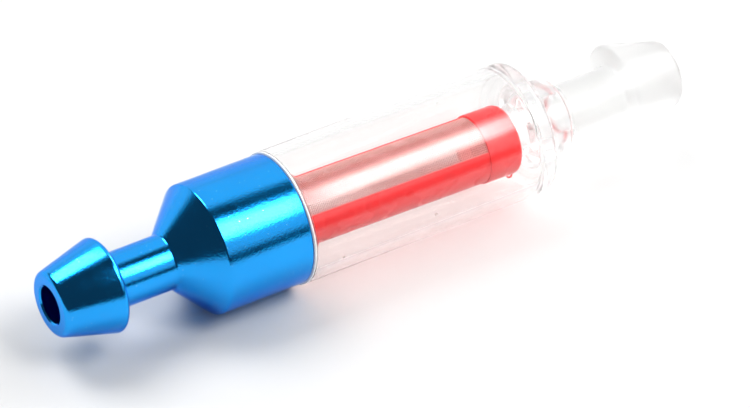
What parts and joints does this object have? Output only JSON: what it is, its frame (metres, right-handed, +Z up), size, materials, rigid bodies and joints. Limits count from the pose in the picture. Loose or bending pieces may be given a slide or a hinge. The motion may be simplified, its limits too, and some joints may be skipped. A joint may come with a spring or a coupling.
{
  "type": "in-line fuel filter",
  "caption": "In-line fuel filter with an anodised screw-on inlet cap, a clear bowl, a red mesh strainer inside and a barbed hose nipple at each end.",
  "frame": {"origin": "on the filter's axis, half way between the two nipple tips", "axes": "+X along the filter's axis towards the outlet nipple, +Z up as the filter lies"},
  "size_m": [0.044, 0.0086, 0.0086],
  "materials": {
    "inlet_cap": "turned, polished and blue anodised",
    "bowl": "water-clear moulded plastic, frosted on the outlet nipple",
    "strainer_frame": "smooth moulded red plastic",
    "screen": "fine plain-woven nylon screen",
    "o_ring": "moulded nitrile rubber"
  },
  "bodies": {
    "bowl": {"bowl": "bowl"},
    "strainer": {"strainer_frame": "strainer_frame", "upper_screen": "screen", "lower_screen": "screen", "o_ring": "o_ring"},
    "cap": {"inlet_cap": "inlet_cap"}
  },
  "joints": [
    {"name": "cap_travel", "type": "slide", "parent": "bowl", "child": "strainer", "axis": [-1, 0, 0], "range_m": [0, 0.004]},
    {"name": "cap_turn", "type": "hinge", "parent": "strainer", "child": "cap", "pos_m": [0, 0, 0], "axis": [-1, 0, 0], "range_deg": [0, 1441]}
  ],
  "couplings": [
    {"joint": "cap_turn", "follows": "cap_travel", "rad_per_m": 6283.2}
  ]
}
